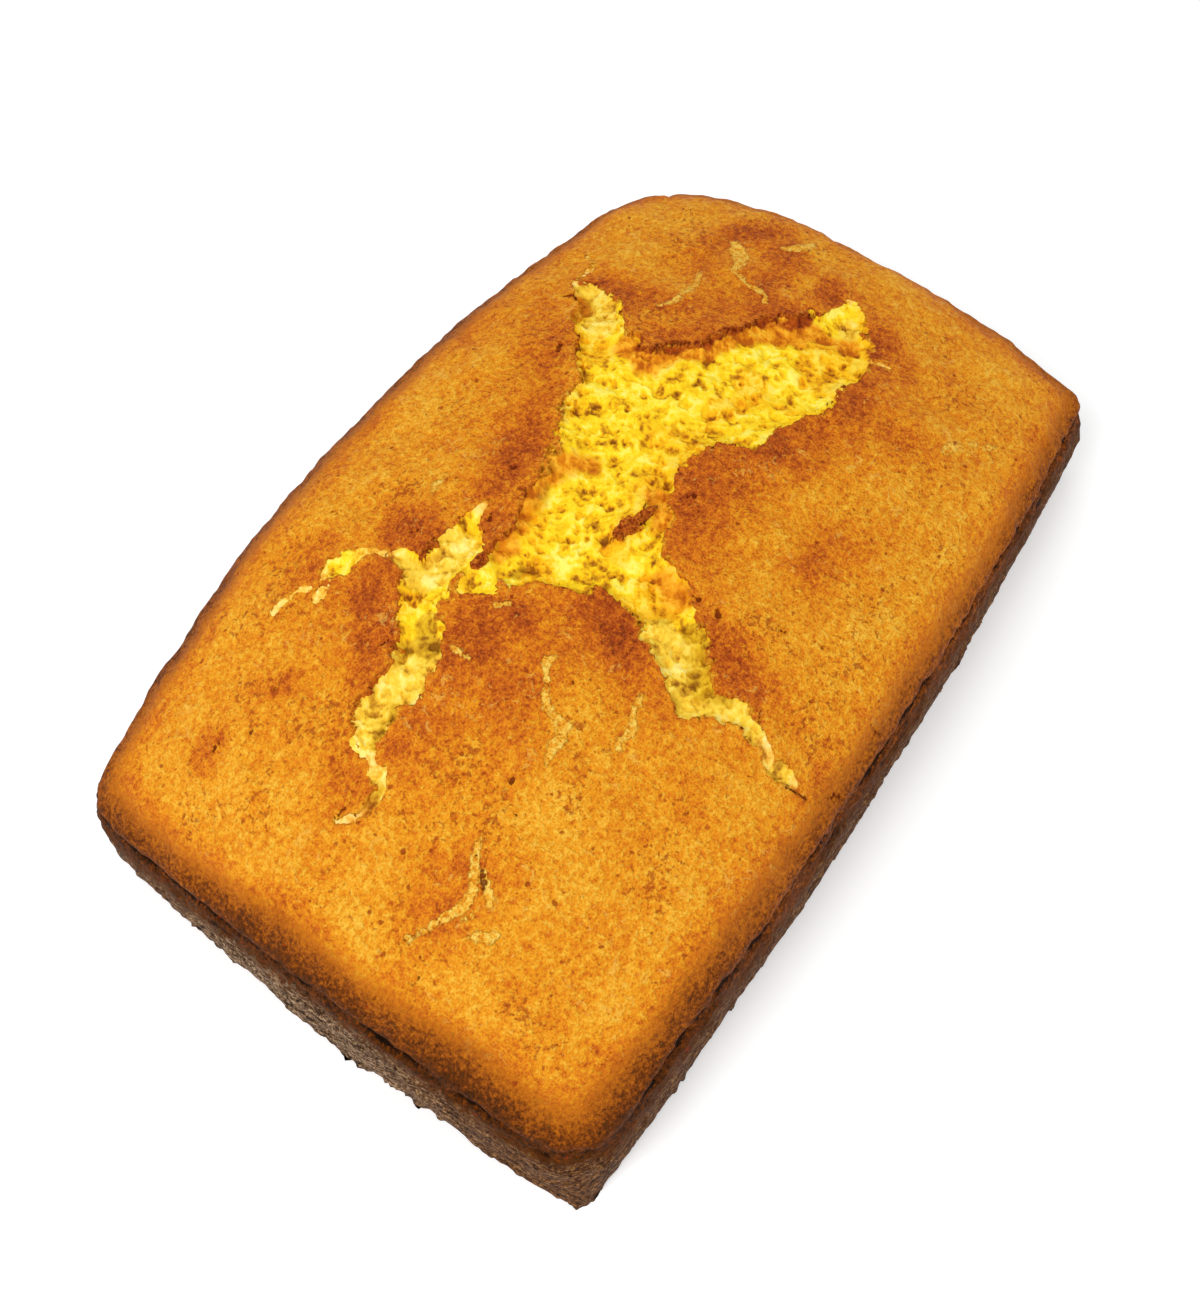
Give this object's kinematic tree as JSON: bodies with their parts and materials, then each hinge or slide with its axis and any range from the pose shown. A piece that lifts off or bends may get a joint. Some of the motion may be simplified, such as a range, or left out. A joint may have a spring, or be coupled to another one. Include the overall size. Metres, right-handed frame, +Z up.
{
  "type": "loaf of cornbread",
  "caption": "Oblong loaf of cornbread with a domed crust torn open along the top in a branching crack that shows its crumb, and a flat base.",
  "frame": {"origin": "centre of the flat base that the loaf stands on", "axes": "+X along the loaf, +Y across it, +Z up out of its domed top"},
  "size_m": [0.2072, 0.1322, 0.0526],
  "materials": {
    "crust": "matte"
  },
  "bodies": {
    "root": {"cornbread": "crust"}
  },
  "joints": []
}
